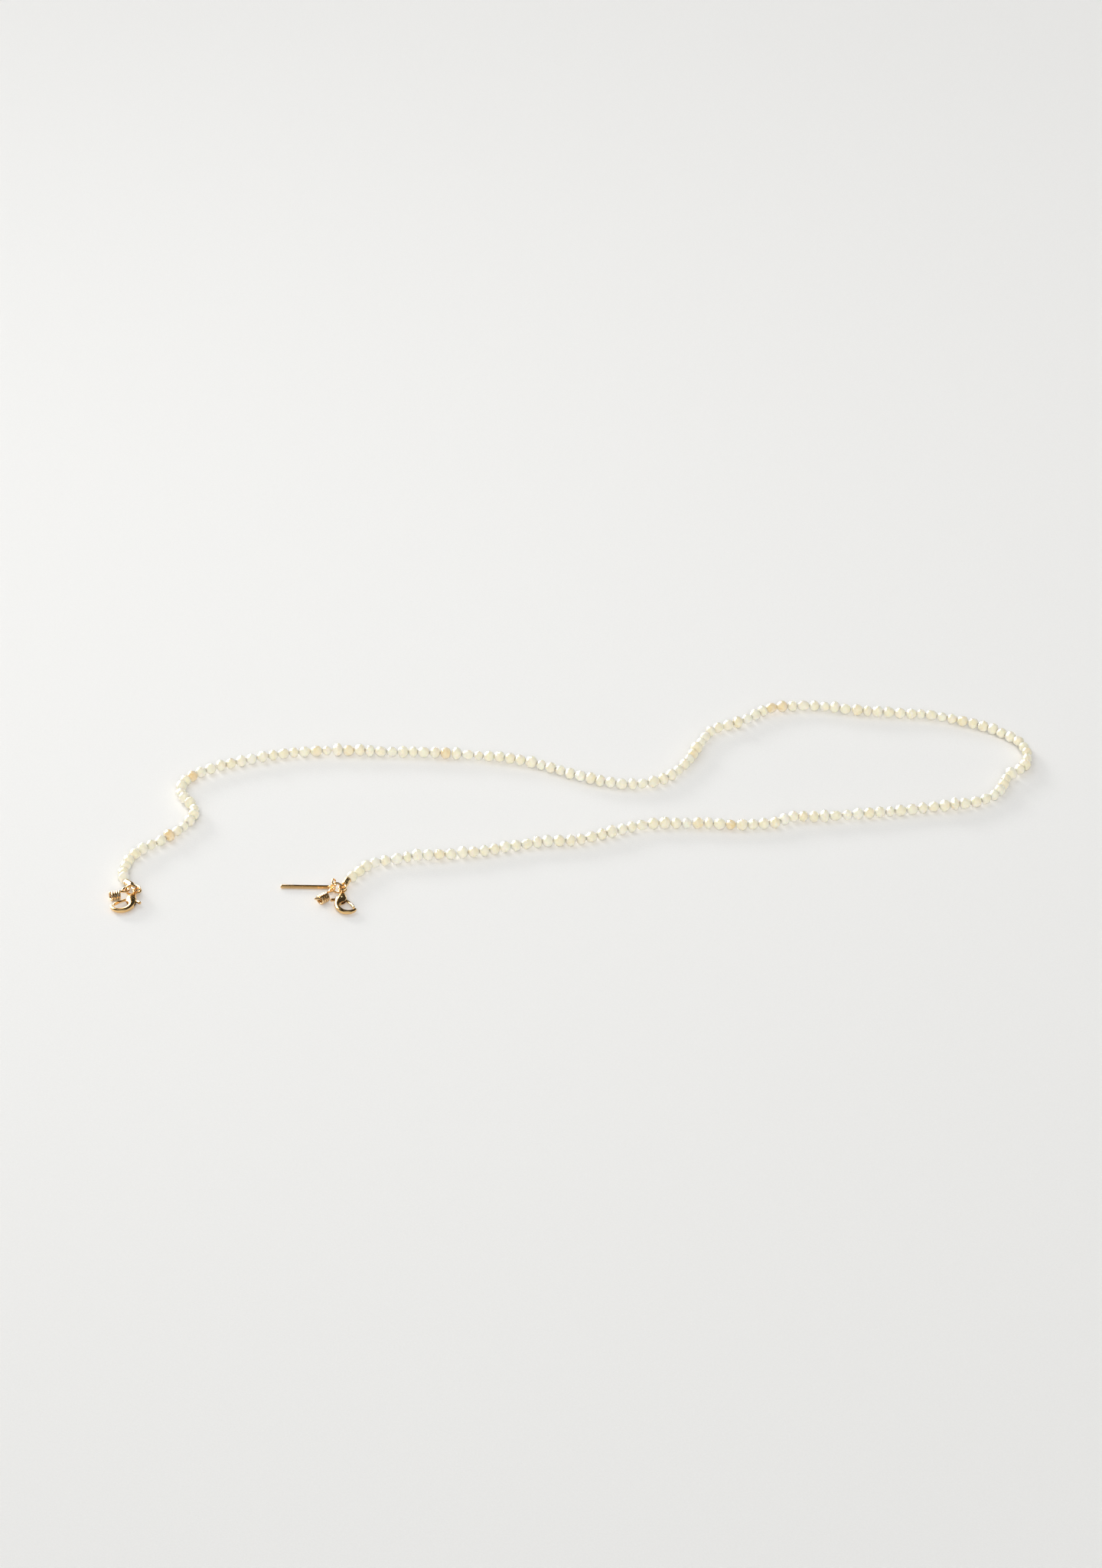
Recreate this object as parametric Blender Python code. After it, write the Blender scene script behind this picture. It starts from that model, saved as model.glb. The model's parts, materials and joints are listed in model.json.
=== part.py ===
"""Seed pearl necklace, lying open on a table as a loose loop.

The pearls sit on a silk thread in runs of eleven, one hinge between each run and the next.
Each end of the silk is knotted inside a metal end cap. The cap's eye holds a jump ring, and the
ring carries a lobster clasp and a wound wire coil. The right-hand ring also carries a bar drop.

Shapes are worked out in millimetres and turned into metres as each mesh is made. The table top is
z = 0, +X runs along the long side of the loop and +Y runs away from its two loose ends. The origin
is the middle of the necklace's footprint on the table.
"""

import math

import bmesh
import bpy
from mathutils import Matrix, Vector

MM = 0.001
UP = Vector((0, 0, 1))

# The strand: pearls, bore and silk
RUNS = 16
PEARLS_PER_RUN = 11
PEARL_PITCH = 2.5
PEARL_RADIUS = 1.28
PEARL_UNEVENNESS = 0.08
PEARL_PHASE = 2.4
SHOULDER_AT = (0.27, 0.73)
NECK_RADIUS = 0.6
END_RADIUS = 0.44
BORE_RADIUS = 0.33
SILK_RADIUS = 0.19
HINGE_GAP = 0.26
SILK_GAP = 0.12
PEARL_SIDES = 7
SILK_SIDES = 5
STRAND_HEIGHT = 1.4
ROOT_RUN = 8

# How the silk lies, left end to right end: places it passes through, in the table's plane
LAY = (
    (-95.6, -40.1), (-96.2, -37.6), (-94.6, -30.5), (-83.5, -19.0), (-81.0, -12.0), (-85.0, -5.0),
    (-82.0, 1.5), (-68.0, 8.5), (-52.0, 11.5), (-36.5, 11.0), (-20.5, 10.0),
    (-5.0, 7.0), (7.0, 1.0), (17.5, -2.0), (25.0, -0.5), (30.5, 5.5), (37.5, 20.0),
    (44.5, 23.5), (50.5, 28.5), (58.0, 30.0), (74.0, 27.5), (90.0, 25.5), (104.0, 19.0),
    (109.0, 13.5), (109.6, 8.0), (108.2, 4.2), (105.6, 2.4), (104.4, 0.8), (103.6, -2.4),
    (102.2, -5.2), (98.0, -8.6), (84.0, -11.5), (68.5, -14.0), (58.0, -14.9), (54.8, -14.6),
    (52.0, -16.9), (46.0, -17.8), (21.0, -18.0), (6.0, -24.0), (-1.5, -24.5), (-17.0, -28.5),
    (-39.7, -32.8), (-45.5, -39.2),
)
LAY_STEPS = 24

# End caps, knots and jump rings
CAP_RADIUS = 0.75
CAP_BORE = 0.5
CAP_START = 0.25
CAP_LENGTH = 2.6
CAP_FLOOR = 0.5
CAP_SIDES = 10
CAP_EYE_LONG = 1.15
CAP_EYE_WIDE = 0.72
KNOT_RADIUS = 0.38
KNOT_AT = 1.2
KNOT_TURNS = (-50, -10, 30, 70)
EYE_RADIUS = 0.7
EYE_WIRE = 0.2
EYE_STEPS = 14
RING_RADIUS = 1.3
RING_WIRE = 0.24
RING_HEIGHT = 1.6
RING_CUT_DEG = 7.0
RING_STEPS = 20
WIRE_SIDES = 6
CAP_EYE_RISE = 0.3
CAP_CROWN = (
    # share of the cap's radius, distance back from the closed end
    (0.45, 0.0),
    (0.8, 0.1),
    (1.0, 0.35),
)
CAP_LIP = 0.08

# Lobster clasps: the claw lies in its own XY plane, eye at the origin, claw's mouth towards +Y
CLASP_DROP = 0.3
CLASP_PITCH = -3.0
CLASP_SIDES = 8
CLASP_EYE_RADIUS = 0.75
CLASP_EYE_WIRE = 0.25
CLAW = (
    # x, y, half width, half depth
    (0.85, 0.0, 0.32, 0.3),
    (1.5, -0.02, 0.48, 0.45),
    (2.3, -0.12, 0.85, 0.62),
    (3.1, -0.28, 1.18, 0.74),
    (3.8, -0.62, 1.22, 0.78),
    (4.4, -1.1, 0.92, 0.78),
    (5.15, -1.38, 0.66, 0.72),
    (6.0, -1.4, 0.54, 0.64),
    (6.85, -1.1, 0.5, 0.58),
    (7.6, -0.45, 0.47, 0.54),
    (8.03, 0.45, 0.43, 0.5),
    (8.03, 1.4, 0.4, 0.46),
    (7.65, 2.2, 0.36, 0.4),
    (7.1, 2.65, 0.28, 0.32),
)
LEVER = (
    (6.62, 2.25, 0.2),
    (5.9, 1.97, 0.24),
    (5.15, 1.58, 0.26),
    (4.4, 1.05, 0.3),
    (3.9, 0.45, 0.38),
    (3.5, -0.2, 0.45),
    (3.4, -0.95, 0.34),
    (3.42, -1.6, 0.28),
    (3.5, -2.25, 0.26),
    (3.58, -2.75, 0.32),
)
PIVOT = (3.5, -0.2)
LEVER_DEPTH = 0.24
SLOT_HALF = 0.3
SLOT_FROM = 2.1
SLOT_TO = 5.0
SLOT_REACH = 3.0
BORE_REACH = 2.0
PIN_RADIUS = 0.2
PIN_BORE = 0.25
PIN_HALF = 0.7
PIN_SIDES = 8
SPRING = (
    (4.88, -1.5),
    (4.68, -1.18),
    (4.35, -1.18),
    (4.05, -1.38),
)
SPRING_HALF = 0.06
SPRING_DEPTH = 0.22
SPRING_SIDES = 4
SWEEP_STEPS = 2

# Coils and bar
COIL_RADIUS = 0.92
COIL_WIRE = 0.24
COIL_TURNS = 4
COIL_PITCH = 0.53
COIL_STEPS = 10
COIL_SIDES = 5
COIL_HEIGHT = 1.2
OPEN_EYE_GAP_DEG = 30.0
OPEN_EYE_STEPS = 10
BAR_RADIUS = 0.45
BAR_CHAMFER = 0.12
BAR_HEIGHT = 0.5
BAR_EYE_RADIUS = 0.8
BAR_EYE_LIFT = 0.2

# Where the hardware lies. A ring stands on edge, with its near side in the cap's and the clasp's
# eyes. Places round it are clocked from there, over its top: 180 is its far side. Slack is how far
# the ring has slid back along the cap's eye.
LEFT = {
    "cap_heading": -49.0,
    "cap_slack": 0.0,
    "ring_heading": 183.0,
    "clasp_heading": 243.0,
    "clasp_flip": True,
    "coil_tail": (-99.1, -45.7),
    "coil_mouth": (-96.8, -45.0),
    "coil_clock": 180.0,
}
RIGHT = {
    "cap_heading": 252.0,
    "cap_slack": 0.4,
    "ring_heading": 168.0,
    "clasp_heading": 274.0,
    "clasp_flip": False,
    "coil_tail": (-51.9, -47.1),
    "coil_mouth": (-50.2, -45.5),
    "coil_clock": 212.0,
}
BAR_END = (-60.7, -40.7)
BAR_FOOT = (-49.7, -41.0)
BAR_EYE_CLOCK = 116.0

# Colour, roughness and metallic of each finish
GOLD = ((0.78, 0.55, 0.28), 0.18, 1.0)
PEARL = ((0.9, 0.86, 0.76), 0.3, 0.0)
SILK = ((0.93, 0.91, 0.85), 0.8, 0.0)
STEEL = ((0.55, 0.55, 0.56), 0.35, 1.0)
SHARP_DEG = 50


def clear_scene():
    for item in list(bpy.data.objects):
        bpy.data.objects.remove(item, do_unlink=True)


def material(name, colour, roughness, metallic):
    """A Principled BSDF of the given colour."""
    made = bpy.data.materials.new(name)
    made.use_nodes = True
    shader = made.node_tree.nodes["Principled BSDF"]
    shader.inputs["Base Color"].default_value = (*colour, 1.0)
    shader.inputs["Roughness"].default_value = roughness
    shader.inputs["Metallic"].default_value = metallic
    made.diffuse_color = (*colour, 1.0)
    return made


def link(name, mesh):
    made = bpy.data.objects.new(name, mesh)
    bpy.context.collection.objects.link(made)
    return made


def loft(name, loops, finish, closed=False):
    """A solid whose skin runs through loops of points in mm; closed joins the last to the first."""
    bm = bmesh.new()
    rows = [[bm.verts.new(Vector(point) * MM) for point in loop] for loop in loops]
    pairs = list(zip(rows, rows[1:]))
    if closed:
        pairs.append((rows[-1], rows[0]))
    else:
        bm.faces.new(rows[0])
        bm.faces.new(rows[-1])
    for row, after in pairs:
        for i in range(len(row)):
            j = (i + 1) % len(row)
            bm.faces.new((row[i], row[j], after[j], after[i]))
    bmesh.ops.recalc_face_normals(bm, faces=bm.faces)
    mesh = bpy.data.meshes.new(name)
    bm.to_mesh(mesh)
    bm.free()
    mesh.shade_smooth()
    mesh.set_sharp_from_angle(angle=math.radians(SHARP_DEG))
    mesh.materials.append(material(name, *finish))
    return link(name, mesh)


def oval(centre, across, over, half_width, half_depth, sides):
    """Points round an ellipse, with a flat side towards each end of its two axes."""
    turn = math.pi / sides
    return [
        centre
        + across * half_width * math.cos(turn + 2 * math.pi * i / sides)
        + over * half_depth * math.sin(turn + 2 * math.pi * i / sides)
        for i in range(sides)
    ]


def tangents(points, closed=False):
    found = []
    for i in range(len(points)):
        if closed:
            before, after = points[i - 1], points[(i + 1) % len(points)]
        else:
            before, after = points[max(i - 1, 0)], points[min(i + 1, len(points) - 1)]
        found.append((after - before).normalized())
    return found


def tube_loops(points, radius, sides):
    """Round sections along a path, each turned as little as possible from the one before."""
    directions = tangents(points)
    across = directions[0].orthogonal().normalized()
    loops = []
    for point, direction in zip(points, directions):
        across = (across - direction * across.dot(direction)).normalized()
        loops.append(oval(point, across, direction.cross(across), radius, radius, sides))
    return loops


def flat_eye(name, centre, long, wide, wire):
    """A closed wire eye in the XY plane, round or drawn out along X."""
    points = []
    for i in range(EYE_STEPS):
        angle = 2 * math.pi * (i + 0.5) / EYE_STEPS
        points.append(Vector((centre + long * math.cos(angle), wide * math.sin(angle), 0)))
    loops = []
    for point, direction in zip(points, tangents(points, closed=True)):
        loops.append(oval(point, direction.cross(UP), UP, wire, wire, WIRE_SIDES))
    return loft(name, loops, GOLD, closed=True)


def smooth_path(corners, steps):
    """Points of a centripetal Catmull-Rom curve through the corners."""
    corners = [Vector(corner) for corner in corners]
    row = [2 * corners[0] - corners[1], *corners, 2 * corners[-1] - corners[-2]]
    found = []
    for a, b, c, d in zip(row, row[1:], row[2:], row[3:]):
        t1 = (b - a).length ** 0.5
        t2 = t1 + (c - b).length ** 0.5
        t3 = t2 + (d - c).length ** 0.5
        for step in range(steps):
            t = t1 + (t2 - t1) * step / steps
            ab = a.lerp(b, t / t1)
            bc = b.lerp(c, (t - t1) / (t2 - t1))
            cd = c.lerp(d, (t - t2) / (t3 - t2))
            abc = ab.lerp(bc, t / t2)
            bcd = bc.lerp(cd, (t - t1) / (t3 - t1))
            found.append(abc.lerp(bcd, (t - t1) / (t2 - t1)))
    found.append(corners[-1])
    return found


class Lay:
    """The silk's path over the table, measured by length from its left end."""

    def __init__(self):
        flat = smooth_path([(*place, 0.0) for place in LAY], LAY_STEPS)
        self.points = [point + UP * STRAND_HEIGHT for point in flat]
        self.reach = [0.0]
        for before, after in zip(self.points, self.points[1:]):
            self.reach.append(self.reach[-1] + (after - before).length)
        self.scale = self.reach[-1] / (RUNS * PEARLS_PER_RUN * PEARL_PITCH)

    def at(self, length):
        """The place that lies this far along, with lengths scaled to fit the whole strand."""
        length *= self.scale
        for i, reached in enumerate(self.reach[1:]):
            if reached >= length:
                part = (length - self.reach[i]) / (reached - self.reach[i])
                return self.points[i].lerp(self.points[i + 1], part)
        last, before = self.points[-1], self.points[-2]
        return last + (last - before).normalized() * (length - self.reach[-1])

    def heading(self, length):
        reach = PEARL_PITCH / 4
        return (self.at(length + reach) - self.at(length - reach)).normalized()

    def section(self, length, radius, sides):
        direction = self.heading(length)
        return oval(self.at(length), UP.cross(direction), UP, radius, radius, sides)


def pearl_radius(number):
    """Freshwater pearls are uneven: the size drifts a little from one to the next."""
    return PEARL_RADIUS * (1 + PEARL_UNEVENNESS * math.sin(PEARL_PHASE * number))


def pearl_run(lay, run):
    """Eleven pearls of one run, drilled through along the silk's path."""
    start = run * PEARLS_PER_RUN
    low = start * PEARL_PITCH + HINGE_GAP / 2
    high = (start + PEARLS_PER_RUN) * PEARL_PITCH - HINGE_GAP / 2
    outer = [(low, END_RADIUS)]
    for number in range(start, start + PEARLS_PER_RUN):
        if number > start:
            outer.append((number * PEARL_PITCH, NECK_RADIUS))
        for share in SHOULDER_AT:
            outer.append(((number + share) * PEARL_PITCH, pearl_radius(number)))
    outer.append((high, END_RADIUS))
    bore = [(high, BORE_RADIUS)]
    for number in range(start + PEARLS_PER_RUN - 1, start, -1):
        bore.append((number * PEARL_PITCH, BORE_RADIUS))
    bore.append((low, BORE_RADIUS))
    loops = [lay.section(length, radius, PEARL_SIDES) for length, radius in outer + bore]
    return loft(f"pearls_{run + 1:02d}", loops, PEARL, closed=True)


def silk_run(lay, run):
    """The silk thread inside one run."""
    start = run * PEARLS_PER_RUN
    lengths = [number * PEARL_PITCH for number in range(start, start + PEARLS_PER_RUN + 1)]
    lengths[0] += SILK_GAP / 2
    lengths[-1] -= SILK_GAP / 2
    loops = [lay.section(length, SILK_RADIUS, SILK_SIDES) for length in lengths]
    return loft(f"silk_{run + 1:02d}", loops, SILK)


def turned_loops(profile, sides):
    """Sections of a solid turned about its own X axis, from pairs of x and radius."""
    return [
        oval(Vector((x, 0, 0)), Vector((0, 1, 0)), UP, radius, radius, sides)
        for x, radius in profile
    ]


def boolean(target, tool, operation):
    """Adds a Boolean and makes its tool a hidden wire guide."""
    step = target.modifiers.new(operation.lower(), "BOOLEAN")
    step.operation = operation
    step.solver = "EXACT"
    step.object = tool
    tool.parent = target
    tool.hide_render = True
    tool.display_type = "WIRE"


def end_cap(side):
    """A drawn cap, open towards the pearls, with an eye on its closed end."""
    far = CAP_START + CAP_LENGTH
    profile = [(far - back, CAP_RADIUS * share) for share, back in CAP_CROWN]
    profile += [
        (CAP_START + CAP_LIP, CAP_RADIUS),
        (CAP_START, CAP_RADIUS - CAP_LIP),
        (CAP_START, CAP_BORE),
        (far - CAP_FLOOR, CAP_BORE),
    ]
    cap = loft(f"end_cap_{side}", turned_loops(profile, CAP_SIDES), GOLD)
    eye = flat_eye(
        f"end_cap_{side}_eye_shape",
        far + CAP_EYE_LONG,
        CAP_EYE_LONG,
        CAP_EYE_WIDE,
        EYE_WIRE,
    )
    boolean(cap, eye, "UNION")
    return cap


def cap_reach():
    """How far from the silk's end the cap holds the jump ring: near its eye's far side."""
    return CAP_START + CAP_LENGTH + 2 * CAP_EYE_LONG - EYE_RADIUS


def knot(side):
    """The knot that keeps the silk in the cap, with the last of the thread leading to it."""
    profile = [(SILK_GAP, SILK_RADIUS), (KNOT_AT - KNOT_RADIUS, SILK_RADIUS)]
    for turn in KNOT_TURNS:
        angle = math.radians(turn)
        profile.append((KNOT_AT + KNOT_RADIUS * math.sin(angle), KNOT_RADIUS * math.cos(angle)))
    return loft(f"silk_knot_{side}", turned_loops(profile, WIRE_SIDES), SILK)


def jump_ring(side):
    """A round wire ring with a saw cut at its foot, standing on edge; X points across it."""
    cut = math.radians(RING_CUT_DEG)
    points = []
    for i in range(RING_STEPS + 1):
        angle = (cut - math.pi) / 2 + (2 * math.pi - cut) * i / RING_STEPS
        points.append(Vector((1 - math.cos(angle), 0, math.sin(angle))) * RING_RADIUS)
    return loft(f"jump_ring_{side}", tube_loops(points, RING_WIRE, WIRE_SIDES), GOLD)


def flat_sweep(name, stations, finish, sides):
    """A sweep in the XY plane through (x, y, half width, half depth) stations."""
    found = smooth_path(stations, SWEEP_STEPS)
    points = [Vector((station[0], station[1], 0.0)) for station in found]
    loops = []
    for point, direction, (_, _, half_width, half_depth) in zip(points, tangents(points), found):
        loops.append(oval(point, UP.cross(direction), UP, half_width, half_depth, sides))
    return loft(name, loops, finish)


def peg(name, radius, half):
    """A round bar on the lever's pivot, standing along Z."""
    loops = [
        oval(Vector((*PIVOT, z)), Vector((1, 0, 0)), Vector((0, 1, 0)), radius, radius, PIN_SIDES)
        for z in (-half, half)
    ]
    return loft(name, loops, GOLD)


def block(name, low, high):
    loops = [
        [(x, low[1], low[2]), (x, high[1], low[2]), (x, high[1], high[2]), (x, low[1], high[2])]
        for x in (low[0], high[0])
    ]
    return loft(name, loops, GOLD)


def clasp(side):
    """Claw, lever, pin and spring of one lobster clasp, all in the claw's frame."""
    claw = flat_sweep(f"clasp_{side}_claw", CLAW, GOLD, CLASP_SIDES)
    eye = flat_eye(
        f"clasp_{side}_eye_shape",
        0.0,
        CLASP_EYE_RADIUS,
        CLASP_EYE_RADIUS,
        CLASP_EYE_WIRE,
    )
    boolean(claw, eye, "UNION")
    slot = block(
        f"clasp_{side}_slot_shape",
        (SLOT_FROM, -SLOT_REACH, -SLOT_HALF),
        (SLOT_TO, SLOT_REACH, SLOT_HALF),
    )
    boolean(claw, slot, "DIFFERENCE")
    boolean(claw, peg(f"clasp_{side}_bore_shape", PIN_BORE, BORE_REACH), "DIFFERENCE")
    arm = [(x, y, half, LEVER_DEPTH) for x, y, half in LEVER]
    lever = flat_sweep(f"clasp_{side}_lever", arm, GOLD, CLASP_SIDES)
    boolean(lever, peg(f"clasp_{side}_lever_bore_shape", PIN_BORE, BORE_REACH), "DIFFERENCE")
    pin = peg(f"clasp_{side}_pin", PIN_RADIUS, PIN_HALF)
    leaf = [(x, y, SPRING_HALF, SPRING_DEPTH) for x, y in SPRING]
    spring = flat_sweep(f"clasp_{side}_spring", leaf, STEEL, SPRING_SIDES)
    return claw, lever, pin, spring


def on_ring(hold, heading, clock):
    """A place on a ring's wire and the wire's direction there."""
    out = Matrix.Rotation(math.radians(heading), 3, "Z") @ Vector((1, 0, 0))
    turn = math.radians(clock)
    across, over = 1 - math.cos(turn), math.sin(turn)
    place = hold + (out * across + UP * over) * RING_RADIUS
    return place, out * math.sin(turn) + UP * math.cos(turn)


def open_eye(root, centre, direction, radius):
    """Wire that leaves its root and bends into an eye round the given direction."""
    away = root - centre
    away = (away - direction * away.dot(direction)).normalized()
    aside = direction.cross(away)
    gap = math.radians(OPEN_EYE_GAP_DEG)
    points = []
    for i in range(OPEN_EYE_STEPS + 1):
        angle = gap + (2 * math.pi - 2 * gap) * i / OPEN_EYE_STEPS
        points.append(centre + (away * math.cos(angle) + aside * math.sin(angle)) * radius)
    return points


def coil(side, tail, mouth, hold, direction):
    """Close-wound wire from tail to mouth, then a leg and an eye that holds the jump ring."""
    tail, mouth = Vector((*tail, COIL_HEIGHT)), Vector((*mouth, COIL_HEIGHT))
    axis = (mouth - tail).normalized()
    across = UP.cross(axis)
    begin = (tail + mouth) / 2 - axis * COIL_TURNS * COIL_PITCH / 2
    points = []
    for i in range(COIL_TURNS * COIL_STEPS + 1):
        angle = 2 * math.pi * i / COIL_STEPS
        points.append(
            begin
            + axis * COIL_PITCH * i / COIL_STEPS
            + across * COIL_RADIUS * math.sin(angle)
            + UP * COIL_RADIUS * math.cos(angle)
        )
    points += open_eye(points[-1], hold, direction, EYE_RADIUS)
    return loft(f"coil_{side}", tube_loops(points, COIL_WIRE, COIL_SIDES), GOLD)


def bar(foot, end, hold, direction):
    """A straight round bar, with a wire eye standing up from one end of it."""
    foot, end = Vector((*foot, BAR_HEIGHT)), Vector((*end, BAR_HEIGHT))
    axis = (end - foot).normalized()
    across = UP.cross(axis)
    loops = [
        oval(point, across, UP, radius, radius, CAP_SIDES)
        for point, radius in (
            (foot, BAR_RADIUS - BAR_CHAMFER),
            (foot + axis * BAR_CHAMFER, BAR_RADIUS),
            (end - axis * BAR_CHAMFER, BAR_RADIUS),
            (end, BAR_RADIUS - BAR_CHAMFER),
        )
    ]
    rod = loft("bar_drop", loops, GOLD)
    root = foot + axis * BAR_RADIUS
    centre = hold + UP * BAR_EYE_LIFT
    points = [root, *open_eye(root, centre, direction, BAR_EYE_RADIUS)]
    boolean(rod, loft("bar_eye_shape", tube_loops(points, EYE_WIRE, WIRE_SIDES), GOLD), "UNION")
    return rod


def joint(name, place, parent):
    """An empty on a joint's axis, for everything that moves with it."""
    made = link(name, None)
    made.empty_display_size = 2 * MM
    made.location = place * MM
    attach(made, parent)
    return made


def attach(item, parent):
    """Parents an item and leaves it where it stands."""
    bpy.context.view_layer.update()
    if parent:
        item.parent = parent
        item.matrix_parent_inverse = parent.matrix_world.inverted()


def pose(item, place, heading, pitch=0.0, roll=0.0):
    """Lays an item's X axis along a heading over the table, pitched up and rolled over."""
    turn = (
        Matrix.Rotation(math.radians(heading), 4, "Z")
        @ Matrix.Rotation(math.radians(-pitch), 4, "Y")
        @ Matrix.Rotation(math.radians(roll), 4, "X")
    )
    item.matrix_world = Matrix.Translation(place * MM) @ turn
    bpy.context.view_layer.update()
    return item


def hardware(side, plan, tip, parent):
    """Cap, knot, ring, clasp and coil at one end of the silk."""
    reach, rise = cap_reach() - plan["cap_slack"], RING_HEIGHT + CAP_EYE_RISE - tip.z
    pitch = math.asin(rise / reach)
    over = Matrix.Rotation(math.radians(plan["cap_heading"]), 3, "Z") @ Vector((1, 0, 0))
    hold = tip + over * reach * math.cos(pitch)
    hold.z = RING_HEIGHT
    cap_body = joint(f"cap_axis_{side}", tip, parent)
    for item in (end_cap(side), knot(side)):
        pose(item, tip, plan["cap_heading"], math.degrees(pitch))
        attach(item, cap_body)
    ring_body = joint(f"ring_axis_{side}", hold, cap_body)
    attach(pose(jump_ring(side), hold, plan["ring_heading"]), ring_body)
    clasp_body = joint(f"clasp_axis_{side}", hold, ring_body)
    claw, lever, pin, spring = clasp(side)
    eye = hold - UP * CLASP_DROP
    roll = 180.0 if plan["clasp_flip"] else 0.0
    for item in (claw, lever, pin, spring):
        pose(item, eye, plan["clasp_heading"], CLASP_PITCH, roll)
    pivot = claw.matrix_world @ (Vector((*PIVOT, 0.0)) * MM)
    for item in (claw, pin, spring):
        attach(item, clasp_body)
    attach(lever, joint(f"lever_axis_{side}", pivot / MM, clasp_body))
    far, direction = on_ring(hold, plan["ring_heading"], plan["coil_clock"])
    coil_body = joint(f"coil_axis_{side}", far, ring_body)
    attach(coil(side, plan["coil_tail"], plan["coil_mouth"], far, direction), coil_body)
    return ring_body, hold


def centre_on_origin(root):
    """Moves the whole necklace so that the middle of its footprint is the origin."""
    bpy.context.view_layer.update()
    graph = bpy.context.evaluated_depsgraph_get()
    corners = []
    for item in bpy.data.objects:
        if item.type == "MESH" and not item.hide_render:
            mesh = item.evaluated_get(graph).to_mesh()
            corners += [item.matrix_world @ vertex.co for vertex in mesh.vertices]
    for axis in range(2):
        values = [corner[axis] for corner in corners]
        root.location[axis] -= (min(values) + max(values)) / 2
    root.location.z -= min(corner.z for corner in corners)


def build():
    clear_scene()
    lay = Lay()
    necklace = link("necklace", None)
    bodies = {ROOT_RUN: necklace}
    order = [*range(ROOT_RUN - 1, -1, -1), *range(ROOT_RUN + 1, RUNS)]
    for run in order:
        inner = run + 1 if run < ROOT_RUN else run - 1
        length = max(run, inner) * PEARLS_PER_RUN * PEARL_PITCH
        bodies[run] = joint(f"run_axis_{run + 1:02d}", lay.at(length), bodies[inner])
    for run in range(RUNS):
        attach(pearl_run(lay, run), bodies[run])
        attach(silk_run(lay, run), bodies[run])
    whole = RUNS * PEARLS_PER_RUN * PEARL_PITCH
    hardware("left", LEFT, lay.at(0.0), bodies[0])
    ring_body, hold = hardware("right", RIGHT, lay.at(whole), bodies[RUNS - 1])
    eye, direction = on_ring(hold, RIGHT["ring_heading"], BAR_EYE_CLOCK)
    attach(bar(BAR_FOOT, BAR_END, eye, direction), joint("bar_axis", eye, ring_body))
    centre_on_origin(necklace)


build()
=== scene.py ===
"""The look of the seed pearl necklace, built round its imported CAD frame.

Every pearl, thread, cap, ring, clasp, coil and bar is made here as its own fine mesh, placed from
the frame's joints, mounts and nodes. Lengths written as numbers are in millimetres unless they
say otherwise; everything is turned into metres as each mesh is made.
"""

import json
import math
import random

import bmesh
import bpy
import numpy as np
from mathutils import Matrix, Vector, noise

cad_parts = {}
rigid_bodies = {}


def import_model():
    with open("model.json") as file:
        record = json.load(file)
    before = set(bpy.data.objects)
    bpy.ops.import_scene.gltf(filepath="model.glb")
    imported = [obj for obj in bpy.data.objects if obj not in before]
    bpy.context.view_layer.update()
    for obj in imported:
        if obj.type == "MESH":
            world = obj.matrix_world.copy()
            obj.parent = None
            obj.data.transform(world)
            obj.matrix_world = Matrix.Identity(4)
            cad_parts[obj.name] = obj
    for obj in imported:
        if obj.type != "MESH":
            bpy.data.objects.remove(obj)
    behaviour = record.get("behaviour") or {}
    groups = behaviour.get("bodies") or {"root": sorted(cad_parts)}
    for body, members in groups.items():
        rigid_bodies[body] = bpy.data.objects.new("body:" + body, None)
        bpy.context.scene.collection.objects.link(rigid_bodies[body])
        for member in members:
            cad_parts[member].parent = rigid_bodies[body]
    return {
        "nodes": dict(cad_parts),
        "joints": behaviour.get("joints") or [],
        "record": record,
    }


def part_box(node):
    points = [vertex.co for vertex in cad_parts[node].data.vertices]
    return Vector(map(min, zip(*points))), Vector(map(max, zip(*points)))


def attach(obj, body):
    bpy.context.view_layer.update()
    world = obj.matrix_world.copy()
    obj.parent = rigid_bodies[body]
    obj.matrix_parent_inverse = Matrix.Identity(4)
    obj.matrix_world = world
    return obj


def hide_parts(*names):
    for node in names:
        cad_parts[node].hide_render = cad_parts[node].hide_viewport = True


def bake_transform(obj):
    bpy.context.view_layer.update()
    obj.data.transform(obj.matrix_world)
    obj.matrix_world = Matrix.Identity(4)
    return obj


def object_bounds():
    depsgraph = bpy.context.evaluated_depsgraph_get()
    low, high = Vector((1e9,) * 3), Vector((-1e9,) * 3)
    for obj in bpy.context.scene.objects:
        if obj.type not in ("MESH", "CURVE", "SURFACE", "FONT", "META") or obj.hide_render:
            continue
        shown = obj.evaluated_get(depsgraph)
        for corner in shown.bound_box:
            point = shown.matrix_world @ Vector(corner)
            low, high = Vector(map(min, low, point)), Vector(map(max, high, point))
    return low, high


MM = 0.001
UP = Vector((0, 0, 1))
X_AXIS = Vector((1, 0, 0))
Y_AXIS = Vector((0, 1, 0))

# edges that turn further than this stay sharp
SHARP_DEGREES = 38
# how far back each loop of a wire's end is and its share of the radius, and how far the end stands
# proud of the path, in radii
WIRE_END = ((0.0, 0.72), (0.06, 0.93))
WIRE_PROUD = 0.1

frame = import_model()
cad_low, cad_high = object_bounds()
joints = {joint["name"]: joint for joint in frame["joints"]}
RUNS = 16
PEARLS_PER_RUN = 11


# ---------------------------------------------------------------- reading the frame


def joint_place(name):
    """A joint's place in mm."""
    return Vector(joints[name]["pos_m"]) / MM


def joint_axis(name):
    return Vector(joints[name]["axis"]).normalized()


def node_points(name):
    """A CAD node's corner points in mm."""
    mesh = frame["nodes"][name].data
    flat = np.zeros(len(mesh.vertices) * 3)
    mesh.vertices.foreach_get("co", flat)
    return flat.reshape(-1, 3) / MM


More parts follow.
